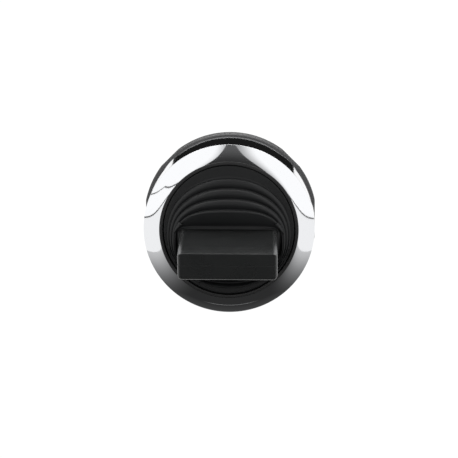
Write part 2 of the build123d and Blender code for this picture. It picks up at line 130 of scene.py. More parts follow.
# ---- Finishes ----
class Finish:
    """A look that can be built as a node material."""

    name: str

    def surface(self, tree: bpy.types.NodeTree) -> bpy.types.NodeSocket:
        """Add the finish's nodes and return its shader socket."""
        raise NotImplementedError

    def build(self) -> bpy.types.Material:
        """Build the node material.

        Returns:
            The finished material.
        """
        material = bpy.data.materials.new(self.name)
        material.use_nodes = True
        tree = material.node_tree
        tree.nodes.clear()
        add_node(tree, "ShaderNodeOutputMaterial", inputs={"Surface": self.surface(tree)})
        return material


class Sheen(Enum):
    """How a moulded surface throws light back."""

    MATT = 0.58
    SATIN = 0.42
    SEMI_GLOSS = 0.2


@dataclass(frozen=True)
class ChromeFinish(Finish):
    """Bright chromium plating on polished die-cast zinc: a clean mirror, with a trace of buffing waviness."""

    name: str = "bright_chromium_plating_on_cast_zinc"
    colour: str = "#e9eaec"
    polish: float = 0.035
    haze: float = 0.03
    haze_mm: float = 4.0
    haze_range: tuple[float, float] = (0.35, 0.75)
    waviness_mm: float = 3.0
    waviness_depth_mm: float = 0.02
    waviness_strength: float = 0.12

    def surface(self, tree: bpy.types.NodeTree) -> bpy.types.NodeSocket:
        """Add the finish's nodes.

        Args:
            tree: empty node tree.

        Returns:
            The shader socket.
        """
        place = add_node(tree, "ShaderNodeTexCoord").outputs["Object"]
        # Handling haze: slow patches where the mirror is a little less sharp.
        values = {"Vector": place, "Scale": grain_scale(self.haze_mm), "Detail": 4.0, "Roughness": 0.6}
        patches = add_node(tree, "ShaderNodeTexNoise", inputs=values)
        low, high = self.haze_range
        dull = self.polish + self.haze
        values = {"Value": patches.outputs["Fac"], 1: low, 2: high, 3: self.polish, 4: dull}
        rough = add_node(tree, "ShaderNodeMapRange", inputs=values)
        # Buffing waviness, which bends straight reflections very slightly.
        values = {"Vector": place, "Scale": grain_scale(self.waviness_mm), "Detail": 1.0}
        waves = add_node(tree, "ShaderNodeTexNoise", inputs=values)
        wave_depth = self.waviness_depth_mm * MM
        values = {"Height": waves.outputs["Fac"], "Strength": self.waviness_strength, "Distance": wave_depth}
        relief = add_node(tree, "ShaderNodeBump", inputs=values)
        values = {"Base Color": linear_colour(self.colour), "Metallic": 1.0}
        values |= {"Roughness": rough.outputs["Result"], "Normal": relief.outputs["Normal"]}
        metal = add_node(tree, "ShaderNodeBsdfPrincipled", inputs=values)
        return metal.outputs["BSDF"]


@dataclass(frozen=True)
class MouldedFinish(Finish):
    """Injection-moulded plastic or rubber: even colour, fine mould grain and slight wear of the sheen."""

    name: str
    colour: str
    sheen: Sheen
    grain_mm: float = 0.12
    grain_depth_mm: float = 0.004
    grain_strength: float = 0.5
    flow_mm: float = 5.0
    flow_lift: float = 1.22
    sheen_spread: tuple[float, float] = (-0.04, 0.05)
    dust: float = 0.0
    dust_tint: float = 0.05
    specular: float = 0.5

    def surface(self, tree: bpy.types.NodeTree) -> bpy.types.NodeSocket:
        """Add the finish's nodes.

        Args:
            tree: empty node tree.

        Returns:
            The shader socket.
        """
        place = add_node(tree, "ShaderNodeTexCoord").outputs["Object"]
        # Flow shading: the pigment is very slightly uneven over several millimetres.
        values = {"Vector": place, "Scale": grain_scale(self.flow_mm), "Detail": 3.0, "Roughness": 0.55}
        flow = add_node(tree, "ShaderNodeTexNoise", inputs=values)
        base = linear_colour(self.colour)
        light = tuple(min(1.0, c * self.flow_lift + self.dust * self.dust_tint) for c in base[:3]) + (1.0,)
        values = {"Factor": flow.outputs["Fac"], 6: base, 7: light}
        colour = add_node(tree, "ShaderNodeMix", {"data_type": "RGBA"}, values)
        # Mould grain: the tool's fine texture, which breaks the highlight into a soft sheen.
        values = {"Vector": place, "Scale": grain_scale(self.grain_mm), "Detail": 2.0}
        grain = add_node(tree, "ShaderNodeTexNoise", inputs=values)
        depth = self.grain_depth_mm * MM
        values = {"Height": grain.outputs["Fac"], "Strength": self.grain_strength, "Distance": depth}
        relief = add_node(tree, "ShaderNodeBump", inputs=values)
        low, high = (self.sheen.value + change for change in self.sheen_spread)
        values = {"Value": flow.outputs["Fac"], 1: NOISE_LOW, 2: NOISE_HIGH, 3: low, 4: high}
        rough = add_node(tree, "ShaderNodeMapRange", inputs=values)
        values = {"Base Color": colour.outputs[2], "Roughness": rough.outputs["Result"]}
        values |= {"Specular IOR Level": self.specular, "Normal": relief.outputs["Normal"]}
        body = add_node(tree, "ShaderNodeBsdfPrincipled", inputs=values)
        return body.outputs["BSDF"]


@dataclass(frozen=True)
class WorkedMetalFinish(Finish):
    """Plain worked metal: turned, drawn or cast, with fine tool marks along one axis."""

    name: str
    colour: str
    roughness: float
    mark_mm: float = 0.15
    mark_depth_mm: float = 0.004
    mark_strength: float = 0.3
    patch_mm: float = 2.5
    spread: tuple[float, float] = (-0.05, 0.08)
    stretch: tuple[float, float, float] = (0.1, 1.0, 1.0)
    tarnish: float = 0.12

    def surface(self, tree: bpy.types.NodeTree) -> bpy.types.NodeSocket:
        """Add the finish's nodes.

        Args:
            tree: empty node tree.

        Returns:
            The shader socket.
        """
        place = add_node(tree, "ShaderNodeTexCoord").outputs["Object"]
        drawn = add_node(tree, "ShaderNodeMapping", inputs={"Vector": place, "Scale": self.stretch})
        # Tool marks: grain stretched along the way the metal was turned or drawn.
        values = {"Vector": drawn.outputs["Vector"], "Scale": grain_scale(self.mark_mm), "Detail": 3.0}
        marks = add_node(tree, "ShaderNodeTexNoise", inputs=values)
        # Tarnish: slow darker patches left by handling and oil.
        values = {"Vector": place, "Scale": grain_scale(self.patch_mm), "Detail": 3.0}
        patches = add_node(tree, "ShaderNodeTexNoise", inputs=values)
        base = linear_colour(self.colour)
        dull = tuple(c * (1.0 - self.tarnish) for c in base[:3]) + (1.0,)
        values = {"Factor": patches.outputs["Fac"], 6: base, 7: dull}
        colour = add_node(tree, "ShaderNodeMix", {"data_type": "RGBA"}, values)
        low, high = (self.roughness + change for change in self.spread)
        values = {"Value": marks.outputs["Fac"], 1: NOISE_LOW, 2: NOISE_HIGH, 3: low, 4: high}
        rough = add_node(tree, "ShaderNodeMapRange", inputs=values)
        depth = self.mark_depth_mm * MM
        values = {"Height": marks.outputs["Fac"], "Strength": self.mark_strength, "Distance": depth}
        relief = add_node(tree, "ShaderNodeBump", inputs=values)
        values = {"Base Color": colour.outputs[2], "Metallic": 1.0}
        values |= {"Roughness": rough.outputs["Result"], "Normal": relief.outputs["Normal"]}
        metal = add_node(tree, "ShaderNodeBsdfPrincipled", inputs=values)
        return metal.outputs["BSDF"]


@dataclass(frozen=True)
class LitCardFinish(Finish):
    """Diffuser cloth or lit table: plain emission that fades along one axis of the card's own coordinates."""

    name: str
    strength: float
    fade_axis: int = 0
    fade_from: float = 0.0
    fade_to: float = 0.0
    dim: float = 1.0
    colour: str = "#ffffff"

    def surface(self, tree: bpy.types.NodeTree) -> bpy.types.NodeSocket:
        """Add the finish's nodes.

        Args:
            tree: empty node tree.

        Returns:
            The shader socket.
        """
        level: Any = self.strength
        if self.fade_from != self.fade_to:
            place = add_node(tree, "ShaderNodeTexCoord").outputs["Object"]
            parts = add_node(tree, "ShaderNodeSeparateXYZ", inputs={"Vector": place})
            values = {"Value": parts.outputs[self.fade_axis], 1: self.fade_from, 2: self.fade_to}
            values |= {3: self.strength * self.dim, 4: self.strength}
            smooth = {"interpolation_type": "SMOOTHSTEP"}
            level = add_node(tree, "ShaderNodeMapRange", smooth, values).outputs["Result"]
        glow = add_node(
            tree, "ShaderNodeEmission", inputs={"Color": linear_colour(self.colour), "Strength": level}
        )
        return glow.outputs["Emission"]


@dataclass(frozen=True)
class LitTableFinish(Finish):
    """Pale glowing table with painted shade in front of the part, which gives the chrome its dark lower half.

    The painted shade narrows away from the part and runs from dark on the middle line to grey at its edge.
    A painted lift brightens it towards the part, and one fine painted bright line across it is reflected as a
    highlight.
    """

    name: str = "pale_table_with_painted_shade"
    strength: float = 1.04
    # Painted shade in front of the part: its size, and its darkest and greyest levels.
    painted_shade_half_width: float = 0.14
    painted_shade_taper: float = 0.36
    painted_shade_least: float = 0.035
    painted_shade_core: float = 0.22
    painted_shade_dark: float = 0.03
    painted_shade_edge: float = 0.62
    # Painted lift of the painted shade towards the part.
    near_from: float = -0.085
    near_to: float = -0.012
    near_level: float = 0.055
    # Painted bright line across the painted shade, reflected as a highlight by the lower crests and edges.
    painted_line_place: float = -0.046
    painted_line_half: float = 0.0008
    painted_line_reach: float = 0.02
    painted_line_level: float = 0.26
    back_from: float = -0.02
    back_to: float = 0.002

    def surface(self, tree: bpy.types.NodeTree) -> bpy.types.NodeSocket:
        """Add the finish's nodes.

        Args:
            tree: empty node tree.

        Returns:
            The shader socket.
        """
        place = add_node(tree, "ShaderNodeTexCoord").outputs["Object"]
        parts = add_node(tree, "ShaderNodeSeparateXYZ", inputs={"Vector": place}).outputs
        sum_node, ramp, smooth = "ShaderNodeMath", "ShaderNodeMapRange", {"interpolation_type": "SMOOTHSTEP"}
        side = add_node(tree, sum_node, {"operation": "ABSOLUTE"}, {0: parts["X"]}).outputs[0]
        # The painted shade's half width, and each place's share of it: 0 on the middle line and 1 at the
        # edge.
        sums = {0: parts["Y"], 1: self.painted_shade_taper, 2: self.painted_shade_half_width}
        taper = add_node(tree, sum_node, {"operation": "MULTIPLY_ADD"}, sums).outputs[0]
        width = add_node(tree, sum_node, {"operation": "MAXIMUM"}, {0: taper, 1: self.painted_shade_least}).outputs[0]
        share = add_node(tree, sum_node, {"operation": "DIVIDE"}, {0: side, 1: width}).outputs[0]
        # The painted shade is darkest on the middle line and greyer towards its edge.
        shades = {"Value": share, 1: self.painted_shade_core, 2: 1.0, 3: self.painted_shade_dark, 4: self.painted_shade_edge}
        shade = add_node(tree, ramp, smooth, shades).outputs["Result"]
        past = add_node(tree, sum_node, {"operation": "GREATER_THAN"}, {0: share, 1: 1.0}).outputs[0]
        white = add_node(tree, sum_node, {"operation": "MULTIPLY"}, {0: past, 1: self.strength}).outputs[0]
        # Behind the part the table turns evenly white; in front, a painted lift brightens the painted shade
        # towards the part.
        back, rise = [
            add_node(tree, ramp, smooth, {"Value": parts["Y"], 1: low, 2: high, 3: 0.0, 4: top}).outputs[0]
            for low, high, top in (
                (self.back_from, self.back_to, self.strength),
                (self.near_from, self.near_to, self.near_level),
            )
        ]
        # Painted bright line across the painted shade, fading out to the sides.
        band = {0: parts["Y"], 1: self.painted_line_place, 2: self.painted_line_half}
        fold = add_node(tree, sum_node, {"operation": "COMPARE"}, band).outputs[0]
        reach = {"Value": side, 1: self.painted_line_reach / 2, 2: self.painted_line_reach, 3: self.painted_line_level, 4: 0.0}
        inside = add_node(tree, ramp, smooth, reach).outputs["Result"]
        lit = {0: fold, 1: inside, 2: rise}
        near = add_node(tree, sum_node, {"operation": "MULTIPLY_ADD"}, lit).outputs[0]
        # The table shows whichever of its four parts is brightest.
        level = shade
        for other in (white, near, back):
            level = add_node(tree, sum_node, {"operation": "MAXIMUM"}, {0: level, 1: other}).outputs[0]
        values = {"Color": linear_colour("#ffffff"), "Strength": level}
        glow = add_node(tree, "ShaderNodeEmission", inputs=values)
        return glow.outputs["Emission"]


# ---- Mesh helpers ----
def grid_object(name: str, points: Array, close_rows: bool, close_columns: bool) -> bpy.types.Object:
    """Put a grid of points in the scene as one smooth quad mesh.

    Args:
        name: object name.
        points: grid of shape (rows, columns, 3), in metres.
        close_rows: join the last row to the first.
        close_columns: join the last column to the first.

    Returns:
        The new object, unturned and unscaled at the origin.
    """
    rows, columns = points.shape[:2]
    index = np.arange(rows * columns).reshape(rows, columns)
    if close_rows:
        index = np.concatenate([index, index[:1]], axis=0)
    if close_columns:
        index = np.concatenate([index, index[:, :1]], axis=1)
    quads = np.stack([index[:-1, :-1], index[:-1, 1:], index[1:, 1:], index[1:, :-1]], axis=-1).reshape(-1, 4)
    mesh = bpy.data.meshes.new(name)
    mesh.vertices.add(rows * columns)
    mesh.vertices.foreach_set("co", points.reshape(-1).astype(np.float32))
    mesh.loops.add(quads.size)
    mesh.loops.foreach_set("vertex_index", quads.reshape(-1).astype(np.int32))
    mesh.polygons.add(len(quads))
    mesh.polygons.foreach_set("loop_start", np.arange(0, quads.size, 4, dtype=np.int32))
    mesh.polygons.foreach_set("use_smooth", np.ones(len(quads), dtype=bool))
    mesh.update(calc_edges=True)
    mesh.validate()
    made = bpy.data.objects.new(name, mesh)
    bpy.context.scene.collection.objects.link(made)
    return made


def signed_volume(obj: bpy.types.Object) -> float:
    """Volume enclosed by a mesh, negative when its faces point inwards.

    Args:
        obj: mesh object.

    Returns:
        Signed volume in cubic metres.
    """
    mesh = obj.data
    mesh.calc_loop_triangles()
    corners = np.empty(len(mesh.loop_triangles) * 3, np.int32)
    mesh.loop_triangles.foreach_get("vertices", corners)
    places = np.empty(len(mesh.vertices) * 3, np.float32)
    mesh.vertices.foreach_get("co", places)
    triangles = places.reshape(-1, 3)[corners.reshape(-1, 3)].astype(float)
    return float(np.einsum("ij,ij->i", triangles[:, 0], np.cross(triangles[:, 1], triangles[:, 2])).sum() / 6)


def face_outwards(obj: bpy.types.Object) -> bpy.types.Object:
    """Flip a closed mesh whose faces point inwards.

    Args:
        obj: closed mesh object.

    Returns:
        The same object.
    """
    if signed_volume(obj) < 0:
        obj.data.flip_normals()
    return obj


def corner_arc(corner: Array, back: Array, ahead: Array, radius: float, count: int) -> Array:
    """Circular arc that touches both sides of a corner, swept evenly from the side behind to the side ahead.

    Args:
        corner: the sharp corner.
        back: unit vector along the side behind it.
        ahead: unit vector along the side ahead of it.
        radius: radius of the arc.
        count: number of points.

    Returns:
        Points of shape (count, 2).
    """
    half = math.acos(float(np.clip(back @ ahead, -1, 1))) / 2
    middle = corner + (back + ahead) / np.linalg.norm(back + ahead) * radius / math.sin(half)
    start = corner + back * radius / math.tan(half) - middle
    end = corner + ahead * radius / math.tan(half) - middle
    sweep = math.pi - 2 * half
    share = np.linspace(0, 1, count)[:, None]
    return middle + (start * np.sin((1 - share) * sweep) + end * np.sin(share * sweep)) / math.sin(sweep)


def rounded_profile(corners: Sequence[tuple[float, float, float]], step: float) -> Array:
    """Closed profile through corners, each rounded by its own radius, with points no further apart than step.

    Each rounding is the circular arc that touches both sides of its corner.

    Args:
        corners: (radius from the axis, depth, rounding) of each corner, in millimetres.
        step: longest distance between two points, in millimetres.

    Returns:
        Points of shape (count, 2), in millimetres.
    """
    count = len(corners)
    pieces: list[Array] = []
    for number in range(count):
        here = np.array(corners[number][:2], float)
        back = np.array(corners[number - 1][:2], float) - here
        ahead = np.array(corners[(number + 1) % count][:2], float) - here
        radius = corners[number][2]
        back /= np.linalg.norm(back)
        ahead /= np.linalg.norm(ahead)
        half = math.acos(float(np.clip(back @ ahead, -1, 1))) / 2
        if radius <= 0 or half > math.pi / 2 - 1e-3:
            pieces.append(here[None])
            continue
        points = max(4, int(radius * (math.pi - 2 * half) / (step * 0.4)) + 2)
        pieces.append(corner_arc(here, back, ahead, radius, points))
    path = np.concatenate(pieces)
    loop = np.concatenate([path, path[:1]])
    lengths = np.linalg.norm(np.diff(loop, axis=0), axis=1)
    counts = np.maximum(1, np.ceil(lengths / step)).astype(int)
    parts = [
        loop[i] + (loop[i + 1] - loop[i]) * np.linspace(0, 1, counts[i], endpoint=False)[:, None]
        for i in range(len(path))
    ]
    return np.concatenate(parts)


def round_axis(radius: Array, depth: Array, turn: Array) -> Array:
    """Points round the head's Y axis, (r cos t, y, r sin t), from millimetres to metres."""
    across = radius * np.cos(turn)
    return np.stack([across, np.broadcast_to(depth, across.shape), radius * np.sin(turn)], axis=-1) * MM


def turned_object(name: str, profile: Array, segments: int) -> bpy.types.Object:
    """Turn a closed profile about the head's axis.

    Args:
        name: object name.
        profile: points of shape (count, 2): radius and depth, in millimetres.
        segments: number of steps round the axis.

    Returns:
        The new closed object.
    """
    turn = np.linspace(0, 2 * math.pi, segments, endpoint=False)
    points = round_axis(profile[:, 0][:, None], profile[:, 1][:, None], turn)
    return face_outwards(grid_object(name, points, True, True))


def on_sphere(azimuth: Array, elevation: Array) -> Array:
    """Points of the unit sphere, (sin a cos e, -cos a cos e, sin e), from angles in radians."""
    a, e = np.broadcast_arrays(azimuth, elevation)
    return np.stack([np.sin(a) * np.cos(e), -np.cos(a) * np.cos(e), np.sin(e)], axis=-1)


def superellipse(half_width: Array, half_height: Array, power: Array, turn: Array) -> tuple[Array, Array]:
    """Superellipses x = w sign(cos t) |cos t|^(2/n), z = h sign(sin t) |sin t|^(2/n)."""
    across, upward = (np.sign(w) * np.abs(w) ** (2 / power) for w in (np.cos(turn), np.sin(turn)))
    return half_width * across, half_height * upward


def dress(obj: bpy.types.Object, material: bpy.types.Material) -> bpy.types.Object:
    """Give an object one material.

    Args:
        obj: mesh object.
        material: the material it gets.

    Returns:
        The same object.
    """
    obj.data.materials.clear()
    obj.data.materials.append(material)
    return obj


# ---- Sub-assemblies ----
@dataclass
class BezelSizes:
    """Sizes of the ring parts, in millimetres. Overall radii and depths are read from the CAD nodes."""

    crown: float = 0.2
    edge_radius: float = 14.5
    lip_radius: float = 11.77
    edge_depth: float = 10.3
    edge_round: float = 0.05
    lip_step: float = 0.004
    wall_support: float = 0.2
    seat_depth: float = 7.6
    wall: float = 1.85
    back_inner_round: float = 0.1
    back_outer_round: float = 0.15
    lip_supports: tuple[float, float] = (0.2, 0.05)
    trim_inner: float = 11.2
    trim_round: float = 0.1
    gasket_inner: float = 11.35
    gasket_round: float = 0.7
    gasket_back_round: float = 0.1
    gasket_flat: float = 14.6
    gasket_corner_flat: float = 14.8
    band_steps: int = 40
    corner_steps: int = 14
    profile_step: float = 0.25
    ring_step: float = 0.2
    segments: int = 288
    gasket_segments: int = 720


@dataclass
class BezelAssembly:
    """Chromed bezel, the black trim ring inside it and the gasket behind it."""

    sizes: BezelSizes

    def bezel(self, finish: bpy.types.Material) -> bpy.types.Object:
        """Build the chromed ring: tapered side wall, small outer rounding and convex front band.

        Args:
            finish: chrome material.

        Returns:
            The bezel.
        """
        s = self.sizes
        low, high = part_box("bezel")
        outer, front, back = high.x / MM, low.y / MM, high.y / MM
        edge = np.array([s.edge_radius, -s.edge_depth])
        lip = np.array([s.lip_radius, front])
        chord = lip - edge
        bulge = np.array([chord[1], -chord[0]]) / np.linalg.norm(chord)
        bulge *= math.copysign(1, -bulge[1])
        share = np.linspace(0, 1, s.band_steps)[:, None]
        # The band is a shallow arc: a straight chord plus a parabola of the crown's height.
        band = edge + chord * share + bulge * 4 * s.crown * share * (1 - share)
        wall_corner = np.array([outer, back])
        start, end = band[0], band[1]
        side = (wall_corner - start) / np.linalg.norm(wall_corner - start)
        along = (end - start) / np.linalg.norm(end - start)
        corner = corner_arc(start, side, along, s.edge_round, s.corner_steps)
        reach = float(np.linalg.norm(corner[-1] - start))
        band = band[np.linalg.norm(band - start, axis=1) > reach * 1.05]
        # Two points close to the lip keep its sharp corner from shading the band beside it.
        support = band[-1] + (band[-2] - band[-1]) * np.array(s.lip_supports)[:, None]
        band = np.concatenate([band[:-1], support])
        wall_end = start + side * s.wall_support
        inner = rounded_profile(
            [
                (lip[0], lip[1] + s.lip_step, 0.0),
                (lip[0], -s.seat_depth, 0.0),
                (outer - s.wall, -s.seat_depth, 0.0),
                (outer - s.wall, back, s.back_inner_round),
                (outer, back, s.back_outer_round),
                (float(wall_end[0]), float(wall_end[1]), 0.0),
            ],
            s.profile_step,
        )
        profile = np.concatenate([corner, band, self._after_lip(inner, wall_end)])
        ring = turned_object("bezel_ring", profile, s.segments)
        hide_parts("bezel")
        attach(ring, "head")
        log.info("bezel ring: outer radius %.2f mm, %d faces", outer, len(ring.data.polygons))
        return dress(ring, finish)

    @staticmethod
    def _after_lip(loop: Array, wall_end: Array) -> Array:
        """Cut a closed loop open: from its point nearest the lip to its last wall point."""
        order = np.roll(loop, -int(np.argmin(loop[:, 1])), axis=0)
        return order[: int(np.argmin(np.linalg.norm(order - wall_end, axis=1))) + 1]

    def trim_ring(self, finish: bpy.types.Material) -> bpy.types.Object:
        """Build the thin black ring that holds the boot.

        Args:
            finish: black plastic material.

        Returns:
            The trim ring.
        """
        low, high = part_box("trim_ring")
        outer, front, back = high.x / MM, low.y / MM, high.y / MM
        s = self.sizes
        inner, edge = s.trim_inner, s.trim_round
        corners = [(outer, back, 0.0), (outer, front, edge), (inner, front, edge), (inner, back, 0.0)]
        profile = rounded_profile(corners, s.ring_step)
        ring = turned_object("trim_ring_smooth", profile, s.segments)
        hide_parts("trim_ring")
        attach(ring, "head")
        log.info("trim ring: %d faces", len(ring.data.polygons))
        return dress(ring, finish)

    def gasket(self, finish: bpy.types.Material) -> bpy.types.Object:
        """Build the panel gasket with its side flats and shallow corner flats.

        The outer edge is a circle cut by flats: r(t) is the least of R, W / |cos t| and C / cos(u), where u
        is the angle to the nearest diagonal.

        Args:
            finish: rubber material.

        Returns:
            The gasket.
        """
        s = self.sizes
        low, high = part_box("panel_gasket")
        radius, front, back = high.z / MM, low.y / MM, high.y / MM
        inner = s.gasket_inner
        depth = radius - inner
        turn = np.linspace(0, 2 * math.pi, s.gasket_segments, endpoint=False)
        diagonal = (turn % (math.pi / 2)) - math.pi / 4
        edge = np.minimum(radius, s.gasket_flat / np.maximum(np.abs(np.cos(turn)), 1e-6))
        edge = np.minimum(edge, s.gasket_corner_flat / np.cos(diagonal))
        # The profile is drawn at full depth and squeezed between the inner radius and the outer edge.
        profile = rounded_profile(
            [
                (0.0, back, 0.0),
                (depth, back, s.gasket_back_round),
                (depth, front, s.gasket_round),
                (0.0, front, 0.0),
            ],
            s.ring_step,
        )
        share = np.clip(profile[:, 0] / depth, 0, 1)[:, None]
        radial = inner + share * (edge[None] - inner)
        points = round_axis(radial, profile[:, 1][:, None], turn)
        ring = face_outwards(grid_object("panel_gasket_smooth", points, True, True))
        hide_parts("panel_gasket")
        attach(ring, "head")
        log.info("gasket: %d faces", len(ring.data.polygons))
        return dress(ring, finish)


@dataclass
class BootSizes:
    """Sizes of the folded boot, in millimetres and degrees."""

    cup_radius: float = 11.17
    band_depth: float = 11.2
    cup_back: float = 8.5
    folds: int = 4
    width_start: float = 10.55
    width_step: float = 0.235
    height_start: float = 9.5
    height_step: float = 0.6
    drop_start: float = 0.5
    drop_step: float = 0.24
    rise_step: float = 0.15
    bulge: float = 0.62
    last_bulge: float = 0.45
    side_calm: float = 0.7
    skew: float = 0.62
    tilt_step: float = 1.2
    power_start: float = 2.1
    power_growth: float = 0.0073
    cuff_power: float = 6.0
    cuff_width: float = 8.75
    cuff_height: float = 2.95
    cuff_reach: float = 7.0
    pivot_depth: float = 5.2
    lever_tilt: float = 15.0
    thickness: float = 0.45
    steps_per_fold: int = 22
    around: int = 240
    shares: tuple[float, ...] = (0.12, 0.3, 0.55, 0.8, 1.0)
    shoulder: float = 0.28
    crest_power: float = 0.75
    wall_steps: int = 8
    shoulder_steps: int = 9
    band_steps: int = 5
    # Reach, half width, half height and power of each line of the lip; the last is its hidden return.
    lip: tuple[tuple[float, float, float, float], ...] = (
        (7.06, 8.66, 2.76, 6.6),
        (7.14, 8.58, 2.71, 8.5),
        (7.24, 8.49, 2.65, 11.0),
        (7.34, 8.4, 2.58, 14.0),
        (7.42, 8.31, 2.5, 16.0),
        (7.1, 8.2, 2.38, 16.0),
    )


@dataclass
class Boot:
    """Rubber boot with four folds between the trim ring and the root of the paddle."""

    sizes: BootSizes

    def _lines(self) -> dict[str, Array]:
        """Work out every line of the skin from the rim to the cuff.

        Between the first valley (q = 0) and the cuff (q = 8) each size runs evenly with q. A fold's height is
        sin(pi p^k)^m over its own share p from 0 to 1, which puts the crest nearer the rim and leaves sharp
        valleys.

        Returns:
            Columns of width, height, power, depth, fold, drop, tilt and the share of the lever's turn.
        """
        s = self.sizes
        last = 2 * s.folds
        q = np.linspace(0, last, s.folds * s.steps_per_fold + 1)
        knee = last - 1
        ease = np.clip((q - knee) / (last - knee), 0, 1)
        knee_width = s.width_start - s.width_step * knee
        knee_height = s.height_start - s.height_step * knee
        late_width = knee_width + ease * (s.cuff_width - knee_width)
        width = np.where(q <= knee, s.width_start - s.width_step * q, late_width)
        late_height = knee_height + ease * (s.cuff_height - knee_height)
        height = np.where(q <= knee, s.height_start - s.height_step * q, late_height)
        power = s.power_start * np.exp(s.power_growth * np.minimum(q, knee) ** 2)
        power = power + ease * (s.cuff_power - power)
        phase = (q / 2) % 1.0
        fold = np.sin(math.pi * phase**s.skew) ** s.crest_power
        fold = np.where(q >= last, 0.0, fold)
        tilt_end = math.radians(s.lever_tilt)
        cuff_depth = s.pivot_depth + s.cuff_reach * math.cos(tilt_end)
        cuff_drop = s.cuff_reach * math.sin(tilt_end)
        straight_depth = s.band_depth + s.rise_step * q
        straight_drop = s.drop_start + s.drop_step * q
        late = np.clip((q - (last - 2)) / 2, 0, 1)
        valley_depth = s.band_depth + s.rise_step * (last - 2)
        valley_drop = s.drop_start + s.drop_step * (last - 2)
        depth = np.where(q <= last - 2, straight_depth, valley_depth + late * (cuff_depth - valley_depth))
        drop = np.where(q <= last - 2, straight_drop, valley_drop + late * (cuff_drop - valley_drop))
        tilt = np.radians(s.tilt_step) * np.minimum(q, last - 2)
        tilt = tilt + late * (tilt_end - np.radians(s.tilt_step) * (last - 2))
        share = np.interp(q, np.arange(0, last + 1, 2), s.shares)
        fold = (s.bulge + (s.last_bulge - s.bulge) * np.clip(q - (last - 2), 0, 1)) * fold
        return dict(zip(COLUMNS, (width, height, power, depth, fold, drop, tilt, share)))

    def _rim(self) -> dict[str, Array]:
        """Lines of the cup wall, its rounded shoulder and the flat outer band.

        Returns:
            The same columns as _lines.
        """
        s = self.sizes
        shoulder = s.shoulder
        wall = np.linspace(s.cup_back, s.band_depth - shoulder, s.wall_steps, endpoint=False)
        arc = np.linspace(0, math.pi / 2, s.shoulder_steps)
        straight = np.full(s.wall_steps, s.cup_radius)
        radius = np.concatenate([straight, s.cup_radius - shoulder + shoulder * np.cos(arc)])
        depth = np.concatenate([wall, s.band_depth - shoulder + shoulder * np.sin(arc)])
        count = len(radius)
        extra = np.linspace(0, 1, s.band_steps + 2)[1:-1]
        start = radius[-1]
        width = np.concatenate([radius, start + extra * (s.width_start - start)])
        height = np.concatenate([radius, start + extra * (s.height_start - start)])
        drop = np.concatenate([np.zeros(count), extra * s.drop_start])
        depth = np.concatenate([depth, np.full(len(extra), s.band_depth)])
        share = np.concatenate([np.zeros(count), extra * s.shares[0]])
        zero = np.zeros(len(width))
        return dict(zip(COLUMNS, (width, height, zero + 2.0, depth, zero, drop, zero, share)))

    def _cuff(self) -> dict[str, Array]:
        """Lines of the lip that hugs the paddle and of its hidden return.

        Returns:
            The same columns as _lines.
        """
        s = self.sizes
        tilt = math.radians(s.lever_tilt)
        reach, width, height, power = np.array(s.lip).T
        depth, drop = s.pivot_depth + reach * math.cos(tilt), reach * math.sin(tilt)
        one = np.ones(len(reach))
        return dict(zip(COLUMNS, (width, height, power, depth, one * 0.0, drop, one * tilt, one)))

    def build(self, finish: bpy.types.Material) -> bpy.types.Object:
        """Build the boot in its rest shape round the lever.

        Every line is a superellipse on a plane that is tilted and dropped as the lever pulls it.

        Args:
            finish: rubber material.

        Returns:
            The boot.
        """
        s = self.sizes
        parts = [self._rim(), self._lines(), self._cuff()]
        col = {key: np.concatenate([p[key] for p in parts])[:, None] for key in parts[0]}
        turn = np.linspace(0, 2 * math.pi, s.around, endpoint=False)[None]
        across, upward = superellipse(col["width"], col["height"], col["power"], turn)
        # The folds are shallower at the two sides, where the skin has less slack.
        depth = col["depth"] + col["fold"] * (1 - s.side_calm * np.cos(turn) ** 4)
        ahead = -depth - upward * np.sin(col["tilt"])
        points = np.stack([across, ahead, upward * np.cos(col["tilt"]) - col["drop"]], axis=-1)
        skin = grid_object("boot_skin", points * MM, False, True)
        self._point_forward(skin)
        self._share_out(skin, np.repeat(col["share"][:, 0], s.around))
        thick = skin.modifiers.new("skin_thickness", "SOLIDIFY")
        thick.thickness = s.thickness * MM
        thick.offset = -1.0
        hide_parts("boot")
        log.info("boot: %d lines, %d faces", len(col["width"]), len(skin.data.polygons))
        return dress(skin, finish)

    @staticmethod
    def _point_forward(skin: bpy.types.Object) -> None:
        """Turn the skin's faces so that its outer side faces the front.

        Args:
            skin: the open skin.
        """
        normals = np.empty(len(skin.data.polygons) * 3, np.float32)
        skin.data.polygons.foreach_get("normal", normals)
        if normals.reshape(-1, 3)[:, 1].mean() > 0:
            skin.data.flip_normals()

    @staticmethod
    def _share_out(skin: bpy.types.Object, share: Array) -> None:
        """Lay each point's share into the mesh for a moment, then put the places back; the skin keeps its
        shape.

        Args:
            skin: the skin.
            share: share of the lever's turn for each point.
        """
        mesh = skin.data
        places = np.empty(len(mesh.vertices) * 3, np.float32)
        mesh.vertices.foreach_get("co", places)
        laid = np.zeros((len(share), 3), np.float32)
        laid[:, 1] = 0.5 - np.sin(np.arcsin(np.clip(1 - 2 * share, -1, 1)) / 3)
        mesh.vertices.foreach_set("co", laid.ravel())
        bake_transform(skin)
        mesh.vertices.foreach_set("co", places)
        mesh.update()


@dataclass
class PaddleSizes:
    """Sizes of the paddle, in millimetres and degrees."""

    half_width: float = 8.3
    half_thickness: float = 2.5
    root: float = 5.0
    tip: float = 16.34
    seam_rise: float = 0.3
    long_round: float = 0.8
    tip_upper_round: float = 0.06
    tip_lower_round: float = 0.45
    tip_side_round: float = 0.55
    seam_round: float = 0.07
    pivot_depth: float = 5.2
    lever_tilt: float = 15.0


